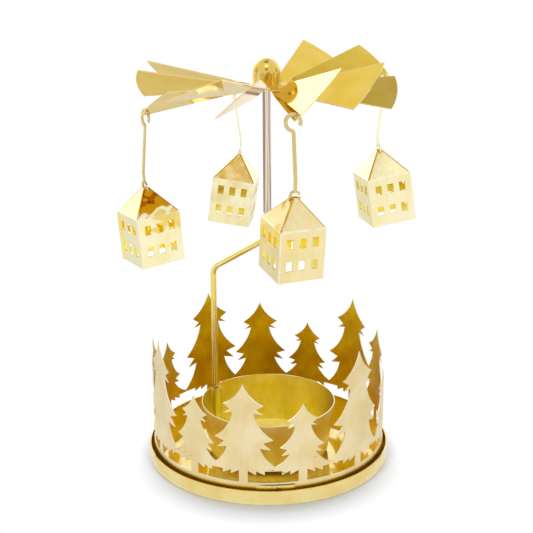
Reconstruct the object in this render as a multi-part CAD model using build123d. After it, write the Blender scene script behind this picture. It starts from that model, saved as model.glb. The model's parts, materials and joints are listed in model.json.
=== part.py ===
from build123d import *
import math
import os

# Rotary tealight carousel: a dish with a pine-tree fence, a tealight cup and a bent wire
# stand that carries a twelve-blade rotor, with four folded-sheet houses hung from it.
# Millimetres. The origin is the centre of the dish's underside, X points to the right,
# Y to the back and Z up. Angles are degrees, azimuths are counted from +X towards +Y.

# Dish
DISH_RADIUS = 46.0
DISH_RIM = 5.8
DISH_SHEET = 0.5
DISH_CORNER = 1.7

# Tree fence, a strip with trees that stands loose inside the dish rim
FENCE_PLAY = 1.3
FENCE_SHEET = 0.4
STRIP_HEIGHT = 7.7
TRUNK_WIDTH = 3.2
SKIRT_HEIGHT = 10.5
SKIRT_EDGE = 12.3
TOOTH_DEPTH = 1.5
TOOTH_PITCH = 3.0
TOOTH_COUNT = 2
SKIRT_OVERLAP = 1.5
SEAM_START = -95.5
SEAM_END = -78.0
SEAM_DROP = 0.7

# Height over the dish floor and half width of the three sizes of tree
TREE_SIZES = {"small": (37.6, 8.2), "medium": (45.3, 10.5), "large": (52.0, 11.8)}
TREES = [
    ("small", -74.0),
    ("large", -42.5),
    ("small", -13.0),
    ("medium", 14.5),
    ("large", 39.0),
    ("small", 67.9),
    ("medium", 94.3),
    ("large", 123.4),
    ("small", 155.5),
    ("medium", 177.5),
    ("large", 205.0),
    ("small", 232.7),
    ("medium", 258.2),
]
# Tree outline, as shares of the half width and of the height over the skirt:
# the tip, the notch under it, the second barb and the neck of each tier
UPPER_TIER = ((0.68, 0.77), (0.43, 0.72), (0.64, 0.675), (0.36, 0.69))
LOWER_TIER = ((1.0, 0.395), (0.66, 0.36), (0.92, 0.285), (0.57, 0.305))
TIER_SWEEP = 0.1

# Tealight cup with a dent for the stand
CUP_RIM_RADIUS = 25.7
CUP_BASE_RADIUS = 22.8
CUP_HEIGHT = 20.9
CUP_SHEET = 0.4
CUP_BEVEL = 2.5
DENT_CLEARANCE = 0.7

# Wire stand
WIRE_RADIUS = 1.1
STAND_INSET = 1.5
STAND_AZIMUTH = 149.5
STAND_LOW_BEND = 71.0
STAND_HIGH_BEND = 86.0
STAND_BEND_RADIUS = 5.0
NEEDLE_LENGTH = 5.0
NEEDLE_TIP_RADIUS = 0.3

# Rotor
HUB_HEIGHT = 142.0
ROTOR_RADIUS = 46.5
BLADE_SHEET = 0.4
FIRST_BLADE = -64.3
SLIT_ANGLE = 1.0
HUB_RADIUS = 8.0
NECK_RADIUS = 13.0
ROOT_SINK = 1.0
ROOT_INSET = 0.05
# Each blade is bent by hand at the hub's edge: twist about its length, rise of its tip, swing in plan
BLADE_TWIST = (43.0, 41.5, 22.2, 27.8, 31.4, 31.1, 15.1, 30.0, 30.0, 27.0, 20.3, 34.8)
BLADE_RISE = (5.9, 6.6, 7.4, -2.9, 2.1, 2.7, -7.9, -3.4, 9.2, 9.5, -1.9, 7.4)
BLADE_SWING = (-4.9, -7.3, 2.5, 7.6, 2.9, 5.4, 4.3, 1.0, 3.1, 0.0, -3.0, -7.1)

# Sleeve and dome of the rotor
SLEEVE_BORE_PLAY = 0.1
SLEEVE_WALL = 0.3
SLEEVE_CLEARANCE = 10.0
FLARE_WIDTH = 1.4
FLARE_SHEET = 0.3
SEAT_PLAY = 0.03
DOME_RADIUS = 5.0
DOME_WALL = 0.5
DOME_SKIRT = 5.2
PIVOT_GAP = 0.05
PIVOT_SEAT_RADIUS = 0.6

# Hooks, stamped from flat strip, each with an upper loop and a lower eye
HOOK_SHEET = 0.5
HOOK_WIDTH = 1.2
LOOP_RADIUS = 2.65
LOOP_SEAT = 50.0
LOOP_END = -25.0
LOOP_RETURN = 18.0
EYE_RADIUS = 1.75
EYE_WIDTH = 0.9
EYE_START = 22.0
EYE_END = 355.0
HOOK_DROP = 26.5
KINK_RADIUS = 6.0
KINK_HEIGHT = 3.5
HOLE_PLAY = 0.55
HOLE_MARGIN = 0.8

# Houses, folded from sheet, open below
HOUSE_WIDTH = 16.6
WALL_HEIGHT = 18.0
ROOF_HEIGHT = 9.8
HOUSE_SHEET = 0.3
FLAP_GAP = 0.4
EYE_SEAT = 31.0
EYE_PLAY = 0.2
TIP_LIP = 0.25
WINDOW_WIDTH = 2.3
WINDOW_HEIGHT = 3.4
WINDOW_PITCH = 4.6
WINDOW_COLUMNS = 3
WINDOW_ROW_DROPS = (2.7, 10.6)
TAB_WIDTH = 1.4
TAB_SHEET = 0.25

# Hangers on evenly spaced blades: name, azimuth the hook faces, angle its shank is kinked by
HANGERS = [
    ("front", -67.0, -12.5),
    ("left", -149.0, -10.0),
    ("back", 173.0, 16.0),
    ("right", 15.0, 16.0),
]

CUT_MARGIN = 1.0
FENCE_RADIUS = DISH_RADIUS - DISH_SHEET - FENCE_PLAY
STAND_RADIUS = CUP_RIM_RADIUS - STAND_INSET
DENT_RADIUS = WIRE_RADIUS + DENT_CLEARANCE
BLADE_COUNT = len(BLADE_TWIST)
HANGER_STEP = BLADE_COUNT // len(HANGERS)
HALF_BLADE = 180.0 / BLADE_COUNT - SLIT_ANGLE / 2
SLEEVE_BORE = WIRE_RADIUS + SLEEVE_BORE_PLAY
SLEEVE_RADIUS = SLEEVE_BORE + SLEEVE_WALL
DOME_FOOT = HUB_HEIGHT + BLADE_SHEET / 2
DOME_TOP = DOME_FOOT + DOME_SKIRT + DOME_RADIUS
KINK_LEVEL = EYE_RADIUS + KINK_HEIGHT - HOOK_DROP
HOLE_RADIUS = math.hypot(HOOK_SHEET, HOOK_WIDTH) / 2 + HOLE_PLAY
HOLE_INSET = HOLE_RADIUS + HOLE_MARGIN
ROOF_SLOPE = math.degrees(math.atan2(ROOF_HEIGHT, HOUSE_WIDTH / 2))
EYE_HOLE_RADIUS = math.hypot(HOOK_SHEET, EYE_WIDTH) / 2 + EYE_PLAY
EYE_HOLE_OFFSET = EYE_RADIUS * math.cos(math.radians(EYE_SEAT))
EYE_HOLE_DISTANCE = EYE_HOLE_OFFSET / math.cos(math.radians(ROOF_SLOPE))
TIP_CUT = EYE_HOLE_DISTANCE - EYE_HOLE_RADIUS - TIP_LIP


def rounded(points, radii):
    """Closed outline through points, with the corners at the given indices rounded."""
    outline = make_face(Polyline(*points, close=True))
    for index, radius in radii.items():
        corner = outline.vertices().sort_by_distance((*points[index], 0))[0]
        outline = fillet(corner, radius)
    return outline


def turned(outline):
    """Solid of revolution of an outline drawn as radius and height."""
    return revolve(Plane.XZ * outline, Axis.Z)


def stand_place():
    """Where the lower leg of the stand meets the dish floor."""
    angle = math.radians(STAND_AZIMUTH)
    return Pos(STAND_RADIUS * math.cos(angle), STAND_RADIUS * math.sin(angle), DISH_SHEET)


def base_dish():
    inner = DISH_RADIUS - DISH_SHEET
    points = [
        (0, 0),
        (DISH_RADIUS, 0),
        (DISH_RADIUS, DISH_RIM),
        (inner, DISH_RIM),
        (inner, DISH_CORNER),
        (DISH_RADIUS - DISH_CORNER, DISH_SHEET),
        (0, DISH_SHEET),
    ]
    return turned(rounded(points, {1: DISH_CORNER}))


def tree_side(size, join):
    """Right half of a tree's outline, from its trunk to its tip, as lines and arcs."""
    height, half_width = TREE_SIZES[size]
    crown = height - SKIRT_HEIGHT

    def place(share):
        return (share[0] * half_width, SKIRT_HEIGHT + share[1] * crown)

    def swept(start, end):
        reach = math.dist(start, end)
        return SagittaArc(start, end, TIER_SWEEP * reach)

    foot = (TRUNK_WIDTH / 2, STRIP_HEIGHT - CUT_MARGIN)
    teeth = [foot, (TRUNK_WIDTH / 2, SKIRT_EDGE)]
    for tooth in range(TOOTH_COUNT):
        reach = TRUNK_WIDTH / 2 + TOOTH_PITCH * (tooth + 1)
        teeth.append((reach, SKIRT_EDGE - TOOTH_DEPTH))
        teeth.append((reach, SKIRT_EDGE))
    teeth.append((join, SKIRT_EDGE))
    upper = [place(share) for share in UPPER_TIER]
    lower = [place(share) for share in LOWER_TIER]
    top = (0, height)
    return [
        Line((0, foot[1]), foot),
        Polyline(*teeth),
        swept(teeth[-1], lower[3]),
        Polyline(*reversed(lower)),
        swept(lower[0], upper[3]),
        Polyline(*reversed(upper)),
        swept(upper[0], top),
    ]


def fence_seam():
    """Lap where the strip's ends are joined, over the dish's rounded corner."""
    inner = FENCE_RADIUS - FENCE_SHEET / 2
    outer = FENCE_RADIUS + FENCE_SHEET
    foot = DISH_CORNER - DISH_SHEET
    top = STRIP_HEIGHT - SEAM_DROP
    lap = rounded([(inner, foot), (outer, foot), (outer, top), (inner, top)], {})
    return Rot(Z=SEAM_START) * revolve(Plane.XZ * lap, Axis.Z, SEAM_END - SEAM_START)


def tree_fence():
    gaps = [(b[1] - a[1]) % 360 for a, b in zip(TREES, TREES[1:] + TREES[:1])]
    join = FENCE_RADIUS * math.sin(math.radians(max(gaps) / 2)) + SKIRT_OVERLAP
    depth = FENCE_RADIUS * (1 - math.cos(math.asin(join / FENCE_RADIUS))) + CUT_MARGIN
    faces = {}
    for size in TREE_SIZES:
        half = Curve() + tree_side(size, join)
        faces[size] = make_face((half + mirror(half, Plane.YZ)).edges())
    trees = Cylinder(FENCE_RADIUS + CUT_MARGIN, STRIP_HEIGHT, align=(Align.CENTER, Align.CENTER, Align.MIN))
    for size, azimuth in TREES:
        angle = math.radians(azimuth)
        outward = Vector(math.cos(angle), math.sin(angle), 0)
        along = Vector(-math.sin(angle), math.cos(angle), 0)
        plane = Plane(outward * (FENCE_RADIUS + CUT_MARGIN), x_dir=along, z_dir=outward)
        trees += extrude(plane * faces[size], -FENCE_SHEET - depth - CUT_MARGIN)
    tallest = max(height for height, _ in TREE_SIZES.values())
    ring = Cylinder(FENCE_RADIUS, tallest + CUT_MARGIN, align=(Align.CENTER, Align.CENTER, Align.MIN))
    ring -= Cylinder(
        FENCE_RADIUS - FENCE_SHEET, tallest + CUT_MARGIN, align=(Align.CENTER, Align.CENTER, Align.MIN)
    )
    fence = ring & trees
    return Pos(Z=DISH_SHEET) * (fence + fence_seam())


def cup_form(inset):
    """Outer form of the cup, or its inside where inset is the sheet's thickness."""
    lean = (CUP_RIM_RADIUS - CUP_BASE_RADIUS) / CUP_HEIGHT
    top = CUP_HEIGHT + (CUT_MARGIN if inset else 0)
    points = [
        (0, inset),
        (CUP_BASE_RADIUS - inset + lean * inset, inset),
        (CUP_BASE_RADIUS - inset + lean * top, top),
        (0, top),
    ]
    outline = make_face(Polyline(*points, close=True))
    corner = outline.vertices().sort_by_distance((*points[1], 0))[0]
    form = turned(chamfer(corner, CUP_BEVEL - inset))
    place = stand_place().position
    groove = Cylinder(DENT_RADIUS + inset, 3 * CUP_HEIGHT)
    return form - Pos(place.X, place.Y, 0) * groove


def tealight_cup():
    return Pos(Z=DISH_SHEET) * (cup_form(0) - cup_form(CUP_SHEET))


def wire_stand():
    foot = stand_place().position
    tip = DOME_TOP - DOME_WALL - PIVOT_GAP
    points = [
        (foot.X, foot.Y, foot.Z),
        (foot.X, foot.Y, STAND_LOW_BEND),
        (0, 0, STAND_HIGH_BEND),
        (0, 0, tip - NEEDLE_LENGTH),
    ]
    path = FilletPolyline(*points, radius=STAND_BEND_RADIUS)
    wire = sweep(Plane(path @ 0, z_dir=path % 0) * Circle(WIRE_RADIUS), path)
    needle = Cone(WIRE_RADIUS, NEEDLE_TIP_RADIUS, NEEDLE_LENGTH)
    return wire + Pos(Z=tip - NEEDLE_LENGTH / 2) * needle


def blade_root(index):
    """Frame of a blade's flat root: X along its length, Z up."""
    return Pos(Z=HUB_HEIGHT) * Rot(Z=FIRST_BLADE - index * 360.0 / BLADE_COUNT)


def blade_place(index):
    """Frame of a blade after its bend: X along its length, Y across it, Z square to its sheet."""
    bend = Rot(Z=BLADE_SWING[index]) * Rot(Y=-BLADE_RISE[index]) * Rot(X=BLADE_TWIST[index])
    return blade_root(index) * Pos(X=HUB_RADIUS) * bend * Pos(X=-HUB_RADIUS)


def hook_hole():
    """Place of the hook's hole in a blade's own frame, by its lower outer corner."""
    reach = ROTOR_RADIUS - HOLE_INSET
    angle = math.radians(HALF_BLADE) - math.asin(HOLE_INSET / reach)
    return Vector(reach * math.cos(angle), -reach * math.sin(angle), 0)


def blade_section(reach, thickness):
    """Cross-section of a blade at a distance from the axis."""
    width = 2 * reach * math.tan(math.radians(HALF_BLADE))
    return Plane((reach, 0, 0), x_dir=(0, 1, 0), z_dir=(1, 0, 0)) * Rectangle(width, thickness)


def blade_plate():
    """Flat part of a blade, from its neck to the rim."""
    half = math.radians(HALF_BLADE)
    inner = (NECK_RADIUS, NECK_RADIUS * math.tan(half))
    outer = (ROTOR_RADIUS * math.cos(half), ROTOR_RADIUS * math.sin(half))
    edges = [
        Line((outer[0], -outer[1]), (inner[0], -inner[1])),
        Line((inner[0], -inner[1]), inner),
        Line(inner, outer),
        ThreePointArc(outer, (ROTOR_RADIUS, 0), (outer[0], -outer[1])),
    ]
    return extrude(make_face(edges), BLADE_SHEET / 2, both=True)


def rotor_blades():
    plain = blade_plate()
    pierced = plain - Pos(hook_hole()) * Cylinder(HOLE_RADIUS, BLADE_SHEET + CUT_MARGIN)
    rotor = Pos(Z=HUB_HEIGHT) * Cylinder(HUB_RADIUS, BLADE_SHEET)
    for index in range(BLADE_COUNT):
        root = blade_root(index) * blade_section(HUB_RADIUS - ROOT_SINK, BLADE_SHEET - 2 * ROOT_INSET)
        neck = blade_place(index) * blade_section(NECK_RADIUS, BLADE_SHEET)
        blade = plain if index % HANGER_STEP else pierced
        rotor += [loft([root, neck], ruled=True), blade_place(index) * blade]
    return rotor - Pos(Z=HUB_HEIGHT) * Cylinder(SLEEVE_RADIUS + SEAT_PLAY, BLADE_SHEET + CUT_MARGIN)


def rotor_sleeve():
    foot = STAND_HIGH_BEND + SLEEVE_CLEARANCE
    top = DOME_FOOT + FLARE_SHEET
    points = [
        (SLEEVE_BORE, foot),
        (SLEEVE_RADIUS, foot),
        (SLEEVE_RADIUS, DOME_FOOT),
        (SLEEVE_RADIUS + FLARE_WIDTH, DOME_FOOT),
        (SLEEVE_RADIUS + FLARE_WIDTH, top),
        (SLEEVE_BORE, top),
    ]
    return turned(rounded(points, {}))


def rotor_dome():
    """Cap with a round crown, bored from below to a conical seat for the needle."""
    shoulder = DOME_FOOT + DOME_SKIRT
    bore = DOME_RADIUS - DOME_WALL
    crown = (DOME_RADIUS * math.sqrt(0.5), shoulder + DOME_RADIUS * math.sqrt(0.5))
    seat = DOME_TOP - DOME_WALL
    points = [(0, DOME_TOP), (0, seat), (PIVOT_SEAT_RADIUS, seat), (bore, shoulder)]
    points += [(bore, DOME_FOOT), (DOME_RADIUS, DOME_FOOT), (DOME_RADIUS, shoulder)]
    section = make_face([Polyline(*points), ThreePointArc(points[-1], crown, points[0])])
    return turned(section)


def strip(path, width):
    """Flat strip swept along a path in the YZ plane, its sheet square to X."""
    start = Plane(path @ 0, x_dir=(1, 0, 0), z_dir=path % 0)
    return sweep(start * Rectangle(HOOK_SHEET, width), path)


def eye_place(kink_angle):
    """Frame of the lower eye in the hook's frame, whose origin is the blade's hole."""
    across = -LOOP_RADIUS * math.cos(math.radians(LOOP_SEAT))
    kink = Pos(0, across, KINK_LEVEL) * Rot(Y=-kink_angle)
    return kink * Pos(Z=-EYE_RADIUS - KINK_HEIGHT)


def hook(kink_angle):
    """Hook with its upper shank upright. The lower end leans by the kink's angle."""
    seat = math.radians(LOOP_SEAT)
    middle = Vector(0, -LOOP_RADIUS * math.cos(seat), -LOOP_RADIUS * math.sin(seat))

    def on_loop(degrees):
        angle = math.radians(degrees)
        return middle + Vector(0, LOOP_RADIUS * math.cos(angle), LOOP_RADIUS * math.sin(angle))

    back = math.radians(LOOP_RETURN)
    reverse = LOOP_RADIUS * math.sin(back) / (1 - math.sin(back))
    shank_top = middle - Vector(0, 0, (LOOP_RADIUS + reverse) * math.cos(back))
    join = on_loop(-90 - LOOP_RETURN)
    turn = TangentArc(shank_top, join, tangent=(0, 0, 1))
    loop = ThreePointArc(join, on_loop(120), on_loop(LOOP_END))
    upper = strip(turn + loop, HOOK_WIDTH)

    kink = Vector(0, middle.Y, KINK_LEVEL)
    eye = eye_place(kink_angle)
    low = (eye * Pos(Z=EYE_RADIUS)).position
    shank_line = FilletPolyline(low, kink, shank_top, radius=KINK_RADIUS)
    shank_start = Plane(shank_line @ 0, x_dir=(0, 1, 0), z_dir=shank_line % 0)
    shank = sweep(shank_start * Rectangle(HOOK_WIDTH, HOOK_SHEET), shank_line)
    ring = Plane.YZ * CenterArc((0, 0), EYE_RADIUS, EYE_START, EYE_END - EYE_START)
    return upper + shank + eye * strip(ring, EYE_WIDTH)


def eye_drop():
    """Height of the roof's meeting point over the centre of the hook's eye."""
    rise = EYE_HOLE_OFFSET * math.tan(math.radians(ROOF_SLOPE))
    return rise - math.sqrt(EYE_RADIUS**2 - EYE_HOLE_OFFSET**2)


def roof_flap(pierced):
    """Flap that folds in from the +Y wall, with its tip cut blunt."""
    slant = math.hypot(ROOF_HEIGHT, HOUSE_WIDTH / 2)
    half = HOUSE_WIDTH / 2
    tip = half * TIP_CUT / slant
    points = [
        (-half + FLAP_GAP, 0),
        (half - FLAP_GAP, 0),
        (tip, slant - TIP_CUT),
        (-tip, slant - TIP_CUT),
    ]
    outline = make_face(Polyline(*points, close=True))
    if pierced:
        outline -= Pos(0, slant - EYE_HOLE_DISTANCE) * Circle(EYE_HOLE_RADIUS)
    slope = math.radians(ROOF_SLOPE)
    inward = (0, -math.sin(slope), -math.cos(slope))
    plane = Plane((0, half, -ROOF_HEIGHT), x_dir=(1, 0, 0), z_dir=inward)
    return extrude(plane * outline, HOUSE_SHEET)


def house():
    """Folded house with its roof's meeting point over the centre of the hook's eye."""
    low = -ROOF_HEIGHT - WALL_HEIGHT / 2
    inside = HOUSE_WIDTH - 2 * HOUSE_SHEET
    walls = Box(HOUSE_WIDTH, HOUSE_WIDTH, WALL_HEIGHT) - Box(inside, inside, WALL_HEIGHT)
    house = Pos(Z=low) * walls
    for row in WINDOW_ROW_DROPS:
        level = -ROOF_HEIGHT - row - WINDOW_HEIGHT / 2
        for column in range(WINDOW_COLUMNS):
            along = (column - (WINDOW_COLUMNS - 1) / 2) * WINDOW_PITCH
            through = HOUSE_WIDTH + CUT_MARGIN
            house -= Pos(along, 0, level) * Box(WINDOW_WIDTH, through, WINDOW_HEIGHT)
            house -= Pos(0, along, level) * Box(through, WINDOW_WIDTH, WINDOW_HEIGHT)
    for side in range(4):
        house += Rot(Z=90 * side) * roof_flap(side % 2 == 0)
    tab = Box(TAB_SHEET, TAB_WIDTH, WALL_HEIGHT)
    house += Pos((HOUSE_WIDTH + TAB_SHEET) / 2, -(HOUSE_WIDTH - TAB_WIDTH) / 2, low) * tab
    return Pos(Z=eye_drop()) * house


def hanger_place(blade, facing, hook_solid, house_solid):
    """Frame of a hook that hangs plumb, with its house, from the hole in a blade."""
    masses = [(solid.volume, solid.center(CenterOf.MASS)) for solid in (hook_solid, house_solid)]
    total = sum(volume for volume, _ in masses)
    across = sum(volume * centre.X for volume, centre in masses) / total
    down = -sum(volume * centre.Z for volume, centre in masses) / total
    lean = math.degrees(math.atan2(across, down))
    hole = (blade_place(blade) * Pos(hook_hole())).position
    return Pos(hole) * Rot(Z=facing) * Rot(Y=lean)


def hangers():
    """Hooks and houses in their places, by node name."""
    nodes = {}
    shape = house()
    for order, (name, facing, kink_angle) in enumerate(HANGERS):
        hook_solid = hook(kink_angle)
        house_solid = eye_place(kink_angle) * shape
        place = hanger_place(order * HANGER_STEP, facing, hook_solid, house_solid)
        nodes["hook_" + name] = place * hook_solid
        nodes["house_" + name] = place * house_solid
    return nodes


nodes = {
    "base_dish": base_dish(),
    "tree_fence": tree_fence(),
    "tealight_cup": tealight_cup(),
    "wire_stand": wire_stand(),
    "rotor_blades": rotor_blades(),
    "rotor_sleeve": rotor_sleeve(),
    "rotor_dome": rotor_dome(),
    **hangers(),
}

os.makedirs("parts", exist_ok=True)
for name, solid in nodes.items():
    export_step(solid, "parts/" + name + ".step")
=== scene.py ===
import bpy
import json
import math
from mathutils import Matrix, Vector

# Rotary tealight carousel in brass, dressed for a white studio. Metres, in the part's own frame.

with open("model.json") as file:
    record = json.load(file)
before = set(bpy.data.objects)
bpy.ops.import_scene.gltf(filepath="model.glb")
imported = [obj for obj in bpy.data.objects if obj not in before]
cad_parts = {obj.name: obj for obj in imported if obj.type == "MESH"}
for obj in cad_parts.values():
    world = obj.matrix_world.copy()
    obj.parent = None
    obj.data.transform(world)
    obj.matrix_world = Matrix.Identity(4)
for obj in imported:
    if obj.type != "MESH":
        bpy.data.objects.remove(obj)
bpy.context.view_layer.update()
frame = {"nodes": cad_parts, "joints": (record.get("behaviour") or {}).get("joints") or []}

# Camera, as the photograph was taken: metres, degrees and pixels
CAMERA_PLACE = (-0.0004, -0.4325, 0.2094)
CAMERA_PITCH = 17.26
CAMERA_ROLL = -0.32
CAMERA_CLIP = 0.01
FOCAL_PIXELS = 1213.7
IMAGE_PIXELS = 533
SENSOR_WIDTH = 36.0

# Light of the floor and the sky to the camera, and of the sky to surfaces that aren't mirrors
BACKDROP_LIGHT = 1.0
SKY_LIGHT = 0.65
WHITE_LIGHT = (1.0, 1.0, 1.0, 1.0)

FLOOR_SIZE = 12.0
FLOOR_COLOUR = (242, 247, 255)
# Shadow in front of the dish: its middle, and the distances at which it starts to fade and is gone
SHADOW_MIDDLE = (0.0, -0.009, 0.0)
SHADOW_FADE = (0.039, 0.0505)
# Narrow shade all round the dish: distances from its axis at which it starts to fade and is gone
CONTACT_FADE = (0.0455, 0.0505)
# Mirrored floor: its light in front of the part, behind it and at the backdrop,
# and the depths between which each gives way to the next
NEAR_FLOOR = 1.0
FAR_FLOOR = 0.84
LAST_FLOOR = 1.1
FLOOR_TURN = (-0.08, 0.08)
FLOOR_RISE = (0.32, 0.42)

# Mirrored sky: the room in front of the part, the lit backdrop behind it, the ceiling,
# and how far a direction points back or up where the room gives way to them
ROOM_LIGHT = 0.95
BACK_LIGHT = 1.2
CEILING_LIGHT = 0.95
BACK_TURN = (0.0, 0.6)
CEILING_TURN = (0.35, 0.8)
# Panels in the mirrored sky: direction, strength, angles at which each is whole and gone
PANELS = (
    ((-0.36, 0.89, 0.28), 3.2, 7.0, 15.0),
    ((0.09, 0.65, 0.76), 0.6, 4.0, 12.0),
    ((0.0, 0.2, 0.98), 0.35, 8.0, 18.0),
    ((0.0, -0.5, 0.87), 1.8, 6.0, 17.0),
    ((0.0, -0.87, 0.5), 0.3, 4.0, 15.0),
    ((-1.0, 0.1, 0.1), 0.62, 10.0, 24.0),
    ((1.0, 0.1, 0.1), 0.62, 10.0, 24.0),
)

# Wide lamp above and behind the part, that gives its soft shadow: power, width and slant
LAMP_POWER = 1.0
LAMP_WIDTH = 75.0
LAMP_SLANT = (-32.0, -8.0, 0.0)

# Tones on the 0 to 255 scale, as they look under white light; some are painted light and shade, as
# noted below
# Painted highlight on cut edges, folds and rounded edges
HIGHLIGHT_WHITE = (253, 246, 224)
PALE_BRASS = (240, 224, 180)
WARM_BRASS = (232, 209, 152)
HOUSE_BRASS = (253, 244, 202)
DARK_HOUSE = (249, 236, 178)
# Pale tones that paint the glint of the far hooks and the highlights of the back house
GLINT_BRASS = (255, 248, 212)
DARK_GLINT = (252, 240, 188)
SOFT_BRASS = (246, 230, 178)
DARK_SOFT = (240, 220, 157)
HOOK_BRASS = (222, 202, 140)
DARK_HOOK = (218, 194, 130)
RIM_BRASS = (239, 220, 154)
DARK_RIM = (231, 204, 121)
WIRE_BRASS = (250, 232, 150)
DARK_WIRE = (242, 214, 106)
RICH_BRASS = (234, 201, 88)
DEEP_BRASS = (227, 191, 64)
DOME_BRASS = (236, 206, 122)
DARK_DOME = (228, 196, 90)
# Deeper tones of the insides, that paint the shade in them; amber also paints the rim's reflection
# on the strip's foot
AMBER_BRASS = (246, 212, 28)
DARK_AMBER = (214, 172, 16)
YELLOW_BRASS = (255, 244, 150)
DARK_YELLOW = (240, 217, 72)
GLOW_BRASS = (255, 240, 122)
DARK_GLOW = (248, 222, 84)
CUP_BRASS = (255, 251, 184)
DARK_CUP = (254, 240, 140)
# Painted shade in the gaps along the roofs' hips
HIP_SHADE_BRASS = (222, 184, 76)
STEEL = (242, 228, 210)
DARK_STEEL = (168, 148, 134)
# Tarnish, and also the painted shadow line along the lap
TARNISH_AND_SHADE = (96, 70, 34)

# Roughness of each finish, from the smoothest to the roughest of its grain
DOME_FINISH = (0.03, 0.06)
MIRROR_FINISH = (0.05, 0.08)
DISH_FINISH = (0.05, 0.1)
BRIGHT_FINISH = (0.06, 0.1)
WIRE_FINISH = (0.12, 0.2)
FENCE_FINISH = (0.28, 0.38)
DENTED_FINISH = (0.29, 0.33)
SATIN_FINISH = (0.29, 0.36)
STEEL_FINISH = (0.29, 0.42)
CUP_FINISH = (0.3, 0.4)
# Roughness inside the dish and the cup, weight and roughness of the wire's lacquer
DISH_LINING = 0.5
CUP_LINING = 0.33
LACQUER = 0.3
LACQUER_ROUGHNESS = 0.05

# Noises: features per millimetre along each axis
ACROSS = (0.3, 0.3, 8.0)
ALONG = (5.0, 5.0, 0.25)
DRAWN = (1.2, 1.2, 0.06)
EVEN = (0.6, 0.6, 0.6)
CLOUDS = (0.1, 0.1, 0.1)
WAVES = (0.12, 0.12, 0.12)
# Unevenness of the painted fold highlights
FOLD_WOBBLE = (0.2, 0.2, 0.2)
SPECKS = (0.8, 0.8, 1.1)
STREAKS = (1.4, 1.4, 0.02)
# Noises: detail, which is plain where none is given
PLAIN_DETAIL = 1.0
SPECK_DETAIL = 2.0
STREAK_DETAIL = 3.0
CLOUD_DETAIL = 4.0
# Noises: values between which each goes from none to full
GRAIN_RANGE = (0.3, 0.7)
CLOUD_RANGE = (0.35, 0.65)
# Range of the unevenness of the painted fold highlights
FOLD_WOBBLE_RANGE = (0.3, 0.5)
SPECK_RANGE = (0.6, 0.68)
STREAK_RANGE = (0.42, 0.58)
# Share of the grain in the tones of a sheet, a smooth sheet, a house and the dish
SHEET_STREAK = 0.3
SMOOTH_STREAK = 0.2
HOUSE_STREAK = 0.5
DISH_STREAK = 0.6
# Strength of the grain's relief on a sheet, a house, the fence and the steel, and its depth
SHEET_BUMP = 0.03
HOUSE_BUMP = 0.02
FENCE_BUMP = 0.05
STEEL_BUMP = 0.1
GRAIN_DEPTH = 0.0001
# Strength of the relief of dents, whose depth is each house's own
DENT_BUMP = 1.0

# Lap of the fence's strip: azimuths of its left and right end in degrees, radius, top,
# distances at which its painted shadow line starts to fade and is gone, darkness of that shadow
LAP_LEFT = -95.5
LAP_RIGHT = -78.0
LAP_RADIUS = 0.0442
LAP_TOP = 0.0075
LAP_FADE = (0.000054, 0.00018)
LAP_DARKNESS = 0.85
# Foot of the strip: heights between which the painted reflection of the dish's rim on it fades
FOOT_FADE = (0.0062, 0.0074)
# Clusters of tarnish on the strip: azimuth in degrees, height and reach
TARNISH_SPOTS = (
    (-135.0, 0.0125, 0.006),
    (-87.0, 0.0125, 0.005),
    (-66.0, 0.0165, 0.003),
    (-86.0, 0.0058, 0.003),
)
TARNISH_DARKNESS = 0.8

# Folds of a house in its own frame, whose origin is the hook's eye: half its width, height of its
# eaves, width of a painted highlight along a fold, half width of the painted shade along a hip
HOUSE_HALF = 0.0083
HOUSE_EAVES = -0.00893
FOLD_WIDTH = 0.0005
HIP_LINE = 0.00038

# Painted highlights along the blades' edges: radius, likeness of the rounded and the true normal
# between which they fade, share of the highlight's tone
HIGHLIGHT_RADIUS = 0.0003
HIGHLIGHT_FADE = (0.9, 0.99)
HIGHLIGHT_SHARE = 0.8

# Outwardness of a face at which it is wholly inside its piece, and at which it no longer is
INSIDE = (-0.1, -0.06)
# Outwardness either way at which a face is wholly a cut edge, and at which it no longer is
CUT_EDGE = (0.06, 0.16)
# Share of the cup's height above which its cut edge gets the painted highlight
CUP_LIP = 0.95
# Middle of a piece's own box, and the level part of a direction
BOX_MIDDLE = (0.5, 0.5, 0.5)
LEVEL = (1.0, 1.0, 0.0)

MILLIMETRE = 1000.0

# Sockets of a Mix node for its share and its two values, which are numbers or colours
NUMBER_SOCKETS = (0, 2, 3)
COLOUR_SOCKETS = (0, 6, 7)
COLOUR_RESULT = 2

# Curve from a tone to linear light
FULL_TONE = 255
CURVE_KNEE = 0.04045
CURVE_SLOPE = 12.92
CURVE_LIFT = 0.055
CURVE_POWER = 2.4


def linear(tone):
    """A tone on the 0 to 255 scale as linear light."""
    light = []
    for share in (value / FULL_TONE for value in tone):
        if share <= CURVE_KNEE:
            light.append(share / CURVE_SLOPE)
        else:
            light.append(((share + CURVE_LIFT) / (1 + CURVE_LIFT)) ** CURVE_POWER)
    return (*light, 1.0)


def add(tree, kind, inputs=None, **settings):
    """New node with its settings. Its inputs are linked to sockets or set to values, and one that
    is None is left alone."""
    made = tree.nodes.new(kind)
    for name, value in settings.items():
        setattr(made, name, value)
    for name, value in (inputs or {}).items():
        if isinstance(value, bpy.types.NodeSocket):
            tree.links.new(value, made.inputs[name])
        elif value is not None:
            made.inputs[name].default_value = value
    return made


def blank_tree(owner):
    """Empty node tree of a material or a world."""
    owner.use_nodes = True
    owner.node_tree.nodes.clear()
    return owner.node_tree


def maths(tree, operation, *values):
    """Result of a sum on numbers or sockets."""
    return add(tree, "ShaderNodeMath", dict(enumerate(values)), operation=operation).outputs[0]


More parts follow.
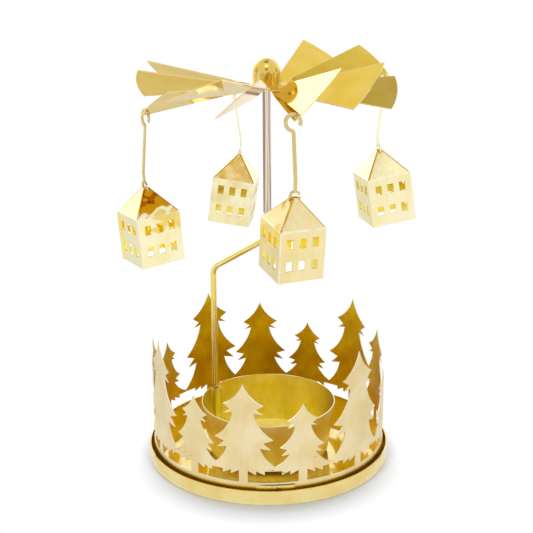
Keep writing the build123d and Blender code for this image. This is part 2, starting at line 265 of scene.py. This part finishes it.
def vectors(tree, operation, *values):
    """Result of a sum on vectors, which is a number or a vector."""
    made = add(tree, "ShaderNodeVectorMath", dict(enumerate(values)), operation=operation)
    return made.outputs["Value" if operation in ("DOT_PRODUCT", "DISTANCE", "LENGTH") else 0]


def split(tree, vector):
    """The three numbers of a vector."""
    return add(tree, "ShaderNodeSeparateXYZ", {0: vector}).outputs


def noise(tree, place, scale, detail=PLAIN_DETAIL):
    """Noise over a place, with a scale for each axis in features per millimetre."""
    spread = [value * MILLIMETRE for value in scale]
    mapped = add(tree, "ShaderNodeMapping", {"Vector": place, "Scale": spread}).outputs[0]
    inputs = {"Vector": mapped, "Scale": 1.0, "Detail": detail}
    return add(tree, "ShaderNodeTexNoise", inputs).outputs[0]


def ranged(tree, value, limits, ends=(0.0, 1.0)):
    """A value between two limits, moved to between two ends and held there."""
    names = ("Value", "From Min", "From Max", "To Min", "To Max")
    inputs = dict(zip(names, (value, *limits, *ends)))
    return add(tree, "ShaderNodeMapRange", inputs).outputs[0]


def faded(tree, value, limits, full=1.0):
    """A share that is full where a value is below its limits and none above them."""
    return ranged(tree, value, limits, (full, 0.0))


def blended(tree, share, first, second):
    """Two numbers, mixed by a share."""
    inputs = dict(zip(NUMBER_SOCKETS, (share, first, second)))
    return add(tree, "ShaderNodeMix", inputs).outputs[0]


def mixed(tree, share, first, second):
    """Two colours, mixed by a share."""
    inputs = dict(zip(COLOUR_SOCKETS, (share, first, second)))
    return add(tree, "ShaderNodeMix", inputs, data_type="RGBA").outputs[COLOUR_RESULT]


def toned(tree, share, tones):
    """Two tones, mixed by a share."""
    return mixed(tree, share, linear(tones[0]), linear(tones[1]))


def bumped(tree, height, strength, depth, normal=None):
    """Normal of a surface with the relief of a height."""
    inputs = {"Height": height, "Strength": strength, "Distance": depth, "Normal": normal}
    return add(tree, "ShaderNodeBump", inputs).outputs[0]


def outwardness(tree, coords):
    """How far a face looks out from the upright middle of its piece, which is below 0 inside and
    above 0 outside."""
    apart = vectors(tree, "SUBTRACT", coords["Generated"], BOX_MIDDLE)
    level = vectors(tree, "MULTIPLY", apart, LEVEL)
    return vectors(tree, "DOT_PRODUCT", level, coords["Normal"])


def tarnish_shadow_and_reflection(tree, coords, share, colour):
    """Step that marks the strip: a painted reflection of the dish's rim at its foot, a painted
    shadow line along the lap's top and end, and clusters of tarnish."""
    place = coords["Object"]
    x, y, z = split(tree, place)
    # Painted reflection of the dish's rim on the strip's foot
    colour = mixed(tree, faded(tree, z, FOOT_FADE), colour, linear(AMBER_BRASS))
    # Painted shadow line along the lap's top and end
    middle = math.radians((LAP_LEFT + LAP_RIGHT) / 2)
    half = math.radians(LAP_RIGHT - LAP_LEFT) / 2 * LAP_RADIUS
    turn = maths(tree, "SUBTRACT", maths(tree, "ARCTAN2", y, x), middle)
    along = maths(tree, "MULTIPLY", turn, LAP_RADIUS)
    right = maths(tree, "SUBTRACT", along, half)
    above = maths(tree, "SUBTRACT", z, LAP_TOP)
    outside = maths(tree, "ABSOLUTE", maths(tree, "MAXIMUM", right, above))
    line = faded(tree, outside, LAP_FADE, LAP_DARKNESS)
    dark = maths(tree, "MULTIPLY", line, ranged(tree, along, (-half, -half / 2)))
    spots = ranged(tree, noise(tree, place, SPECKS, SPECK_DETAIL), SPECK_RANGE)
    for azimuth, height, reach in TARNISH_SPOTS:
        angle = math.radians(azimuth)
        centre = (LAP_RADIUS * math.cos(angle), LAP_RADIUS * math.sin(angle), height)
        distance = vectors(tree, "DISTANCE", place, centre)
        near = faded(tree, distance, (reach / 2, reach), TARNISH_DARKNESS)
        dark = maths(tree, "MAXIMUM", dark, maths(tree, "MULTIPLY", spots, near))
    # dark holds both the painted lap shadow and the tarnish
    return mixed(tree, dark, colour, linear(TARNISH_AND_SHADE))


def inside_shade_and_edge_highlight(tones, edge=None, low=0.0):
    """Step that gives the inside of a piece deeper tones of its own, that paint its shade against
    the paler outside, and paints a highlight tone on its cut edges above a share of its height."""

    def step(tree, coords, share, colour):
        out = outwardness(tree, coords)
        # Painted shade: deeper tones inside the piece
        colour = mixed(tree, faded(tree, out, INSIDE), colour, toned(tree, share, tones))
        # Painted highlight on the cut edges
        if edge:
            cut = faded(tree, maths(tree, "ABSOLUTE", out), CUT_EDGE)
            high = maths(tree, "GREATER_THAN", split(tree, coords["Generated"])["Z"], low)
            colour = mixed(tree, maths(tree, "MULTIPLY", cut, high), colour, linear(edge))
        return colour

    return step


def fold_highlights_and_hip_shade(house):
    """Step that paints highlights on a house's folds along its eaves and corners, and paints shade
    in the gaps along its hips."""
    joint = next(joint for joint in frame["joints"] if joint["child"] == house)
    x, y, z = joint["axis"]
    angles = (0.0, math.asin(-z), math.atan2(y, x))

    def step(tree, coords, share, colour):
        inputs = {"Vector": coords["Object"], "Location": joint["pos_m"], "Rotation": angles}
        place = add(tree, "ShaderNodeMapping", inputs, vector_type="TEXTURE").outputs[0]
        x, y, z = split(tree, place)
        wide = maths(tree, "ABSOLUTE", x)
        deep = maths(tree, "ABSOLUTE", y)
        rise = maths(tree, "SUBTRACT", z, HOUSE_EAVES)
        nearer = maths(tree, "MINIMUM", wide, deep)
        # Painted highlight along the corners and eaves, made uneven by noise
        corner = ranged(tree, nearer, (HOUSE_HALF - FOLD_WIDTH, HOUSE_HALF))
        eaves = faded(tree, maths(tree, "ABSOLUTE", rise), (0.0, FOLD_WIDTH))
        uneven = ranged(tree, noise(tree, place, FOLD_WOBBLE), FOLD_WOBBLE_RANGE)
        fold_highlight = maths(tree, "MULTIPLY", maths(tree, "MAXIMUM", corner, eaves), uneven)
        colour = mixed(tree, fold_highlight, colour, linear(HIGHLIGHT_WHITE))
        # Painted shade in the gaps along the hips
        apart = maths(tree, "ABSOLUTE", maths(tree, "SUBTRACT", wide, deep))
        hip_shade = faded(tree, apart, (HIP_LINE, 2 * HIP_LINE))
        roof = ranged(tree, rise, (HIP_LINE / 2, HIP_LINE))
        return mixed(tree, maths(tree, "MULTIPLY", hip_shade, roof), colour, linear(HIP_SHADE_BRASS))

    return step


def edge_highlight(tree, coords, share, colour):
    """Step that paints highlights along rounded edges."""
    # Painted highlight where the rounded normal turns away from the true one
    soft = add(tree, "ShaderNodeBevel", {"Radius": HIGHLIGHT_RADIUS}).outputs[0]
    hard = add(tree, "ShaderNodeNewGeometry").outputs["Normal"]
    likeness = vectors(tree, "DOT_PRODUCT", soft, hard)
    return mixed(tree, faded(tree, likeness, HIGHLIGHT_FADE, HIGHLIGHT_SHARE), colour, linear(HIGHLIGHT_WHITE))


def metal(tree, colour, rough, normal, lacquer=0.0):
    """Metal under a coat of lacquer, as the surface of a material."""
    look = {"Base Color": colour, "Metallic": 1.0, "Roughness": rough, "Normal": normal}
    coat = {"Coat Weight": lacquer, "Coat Roughness": LACQUER_ROUGHNESS}
    shader = add(tree, "ShaderNodeBsdfPrincipled", look | coat)
    add(tree, "ShaderNodeOutputMaterial", {"Surface": shader.outputs[0]})


def brass(
    name,
    tones,
    roughness,
    grain,
    steps=(),
    streak=SHEET_STREAK,
    bump=SHEET_BUMP,
    dents=None,
    lacquer=0.0,
    lining=None,
):
    """Brass sheet with cloudy tones and drawn grain, changed by steps. It can have shallow dents
    of a depth, a coat of lacquer and a roughness of its own inside."""
    material = bpy.data.materials.new(name)
    tree = blank_tree(material)
    coords = add(tree, "ShaderNodeTexCoord").outputs
    place = coords["Object"]
    clouds = noise(tree, place, CLOUDS, CLOUD_DETAIL)
    lines = noise(tree, place, grain)
    shade = maths(tree, "MULTIPLY_ADD", lines, streak, clouds)
    share = ranged(tree, shade, [limit + streak / 2 for limit in CLOUD_RANGE])
    colour = toned(tree, share, tones)
    for step in steps:
        colour = step(tree, coords, share, colour)
    rough = ranged(tree, lines, GRAIN_RANGE, roughness)
    if lining:
        inside = faded(tree, outwardness(tree, coords), INSIDE)
        rough = blended(tree, inside, rough, lining)
    normal = bumped(tree, lines, bump, GRAIN_DEPTH) if bump else None
    if dents:
        normal = bumped(tree, noise(tree, place, WAVES), DENT_BUMP, dents, normal)
    metal(tree, colour, rough, normal, lacquer)
    return material


def steel(name):
    """Drawn steel tube with streaks along its length."""
    material = bpy.data.materials.new(name)
    tree = blank_tree(material)
    place = add(tree, "ShaderNodeTexCoord").outputs["Object"]
    streaks = noise(tree, place, STREAKS, STREAK_DETAIL)
    colour = toned(tree, ranged(tree, streaks, STREAK_RANGE), (STEEL, DARK_STEEL))
    rough = ranged(tree, streaks, GRAIN_RANGE, STEEL_FINISH)
    metal(tree, colour, rough, bumped(tree, streaks, STEEL_BUMP, GRAIN_DEPTH))
    return material


def dress():
    """Materials for every node."""
    amber = (AMBER_BRASS, DARK_AMBER)
    light = (HOUSE_BRASS, DARK_HOUSE)
    glint_tones = (GLINT_BRASS, DARK_GLINT)
    smooth = {"streak": SMOOTH_STREAK, "bump": None}
    near_hook = brass("hook_brass", (HOOK_BRASS, DARK_HOOK), SATIN_FINISH, EVEN)
    # Paler tones that paint the glint of the far hooks
    glinting_hook = brass("glint_painted_hook_brass", glint_tones, SATIN_FINISH, EVEN)
    finishes = {
        "base_dish": brass(
            "dish_brass",
            (RIM_BRASS, DARK_RIM),
            DISH_FINISH,
            ACROSS,
            (inside_shade_and_edge_highlight(amber),),
            streak=DISH_STREAK,
            lining=DISH_LINING,
        ),
        "tree_fence": brass(
            "fence_brass",
            (PALE_BRASS, WARM_BRASS),
            FENCE_FINISH,
            ALONG,
            (inside_shade_and_edge_highlight(amber, HIGHLIGHT_WHITE), tarnish_shadow_and_reflection),
            bump=FENCE_BUMP,
        ),
        "tealight_cup": brass(
            "cup_brass",
            (CUP_BRASS, DARK_CUP),
            CUP_FINISH,
            EVEN,
            (inside_shade_and_edge_highlight((YELLOW_BRASS, DARK_YELLOW), HIGHLIGHT_WHITE, CUP_LIP),),
            lining=CUP_LINING,
            **smooth,
        ),
        "wire_stand": brass(
            "wire_brass", (WIRE_BRASS, DARK_WIRE), WIRE_FINISH, ALONG, lacquer=LACQUER
        ),
        # The blades get painted highlights along their edges
        "rotor_blades": brass(
            "blade_brass", (RICH_BRASS, DEEP_BRASS), MIRROR_FINISH, EVEN, (edge_highlight,), **smooth
        ),
        "rotor_dome": brass("dome_brass", (DOME_BRASS, DARK_DOME), DOME_FINISH, EVEN, **smooth),
        "rotor_sleeve": steel("sleeve_steel"),
        "hook_front": near_hook,
        "hook_left": near_hook,
        "hook_back": glinting_hook,
        "hook_right": glinting_hook,
    }
    # Tones, roughness, relief of the grain and depth of the dents
    houses = {
        "house_front": ((SOFT_BRASS, DARK_SOFT), BRIGHT_FINISH, None, 0.0002),
        "house_left": (light, MIRROR_FINISH, None, 0.0005),
        # Paler tones that paint the back house's highlights
        "house_back": (glint_tones, DENTED_FINISH, None, 0.0016),
        "house_right": (light, SATIN_FINISH, HOUSE_BUMP, 0.0003),
    }
    for name, (tones, roughness, bump, dents) in houses.items():
        # Painted fold highlights and hip shade, and deeper inside tones that paint the shade inside
        steps = (fold_highlights_and_hip_shade(name), inside_shade_and_edge_highlight((GLOW_BRASS, DARK_GLOW)))
        finishes[name] = brass(name, tones, roughness, DRAWN, steps, HOUSE_STREAK, bump, dents)
    for name, piece in frame["nodes"].items():
        piece.data.materials.clear()
        piece.data.materials.append(finishes[name])


def seen_rays(tree):
    """Whether a ray sees the surroundings lit, as the camera does, and whether it is mirrored."""
    rays = add(tree, "ShaderNodeLightPath").outputs
    seen = maths(tree, "MAXIMUM", rays["Is Camera Ray"], rays["Is Glossy Ray"])
    return maths(tree, "MAXIMUM", seen, rays["Is Transmission Ray"]), rays["Is Glossy Ray"]


def floor():
    """White table under the part, that keeps the part's shadow and is lit in reflections."""
    mesh = bpy.data.meshes.new("floor")
    half = FLOOR_SIZE / 2
    corners = [(-half, -half, 0), (half, -half, 0), (half, half, 0), (-half, half, 0)]
    mesh.from_pydata(corners, [], [(0, 1, 2, 3)])
    piece = bpy.data.objects.new("floor", mesh)
    bpy.context.scene.collection.objects.link(piece)
    material = bpy.data.materials.new("floor_white")
    material.cycles.emission_sampling = "NONE"
    tree = blank_tree(material)
    place = add(tree, "ShaderNodeTexCoord").outputs["Object"]
    seen, glossy = seen_rays(tree)
    shadow = ranged(tree, vectors(tree, "DISTANCE", place, SHADOW_MIDDLE), SHADOW_FADE)
    contact = ranged(tree, vectors(tree, "LENGTH", place), CONTACT_FADE)
    fade = maths(tree, "MAXIMUM", maths(tree, "MINIMUM", shadow, contact), glossy)
    back = split(tree, place)["Y"]
    mirrored = ranged(tree, back, FLOOR_TURN, (NEAR_FLOOR, FAR_FLOOR))
    mirrored = blended(tree, ranged(tree, back, FLOOR_RISE), mirrored, LAST_FLOOR)
    light = blended(tree, glossy, BACKDROP_LIGHT, mirrored)
    shaded = add(tree, "ShaderNodeBsdfDiffuse", {"Color": linear(FLOOR_COLOUR)}).outputs[0]
    white = add(tree, "ShaderNodeEmission", {"Color": WHITE_LIGHT, "Strength": light}).outputs[0]
    inputs = {0: maths(tree, "MULTIPLY", fade, seen), 1: shaded, 2: white}
    shader = add(tree, "ShaderNodeMixShader", inputs)
    add(tree, "ShaderNodeOutputMaterial", {"Surface": shader.outputs[0]})
    mesh.materials.append(material)


def sky():
    """White surroundings: even for the camera, with a soft gradient and panels in reflections."""
    world = bpy.data.worlds.new("studio")
    bpy.context.scene.world = world
    tree = blank_tree(world)
    seen, glossy = seen_rays(tree)
    facing = add(tree, "ShaderNodeTexCoord").outputs["Generated"]
    way = split(tree, facing)
    sides = ranged(tree, way["Y"], BACK_TURN, (ROOM_LIGHT, BACK_LIGHT))
    tone = blended(tree, ranged(tree, way["Z"], CEILING_TURN), sides, CEILING_LIGHT)
    for direction, strength, inner, outer in PANELS:
        near = vectors(tree, "DOT_PRODUCT", facing, Vector(direction).normalized())
        limits = [math.cos(math.radians(angle)) for angle in (outer, inner)]
        tone = blended(tree, ranged(tree, near, limits), tone, strength)
    light = blended(tree, glossy, BACKDROP_LIGHT, tone)
    inputs = {"Color": WHITE_LIGHT, "Strength": blended(tree, seen, SKY_LIGHT, light)}
    shader = add(tree, "ShaderNodeBackground", inputs)
    add(tree, "ShaderNodeOutputWorld", {"Surface": shader.outputs[0]})


def lamp():
    """Wide lamp that lights the table and isn't mirrored by the metal."""
    light = bpy.data.lights.new("table_lamp", "SUN")
    light.energy = LAMP_POWER
    light.angle = math.radians(LAMP_WIDTH)
    piece = bpy.data.objects.new("table_lamp", light)
    piece.rotation_euler = [math.radians(angle) for angle in LAMP_SLANT]
    piece.visible_glossy = False
    bpy.context.scene.collection.objects.link(piece)


def camera():
    """Camera at the photograph's place and angle."""
    lens = bpy.data.cameras.new("camera")
    lens.sensor_width = SENSOR_WIDTH
    lens.lens = FOCAL_PIXELS / IMAGE_PIXELS * SENSOR_WIDTH
    lens.clip_start = CAMERA_CLIP
    piece = bpy.data.objects.new("camera", lens)
    tilt = Matrix.Rotation(math.radians(90 - CAMERA_PITCH), 4, "X")
    roll = Matrix.Rotation(math.radians(CAMERA_ROLL), 4, "Z")
    piece.matrix_world = Matrix.Translation(CAMERA_PLACE) @ tilt @ roll
    bpy.context.scene.collection.objects.link(piece)
    bpy.context.scene.camera = piece


dress()
floor()
sky()
lamp()
camera()
bpy.context.scene.view_settings.view_transform = "Standard"
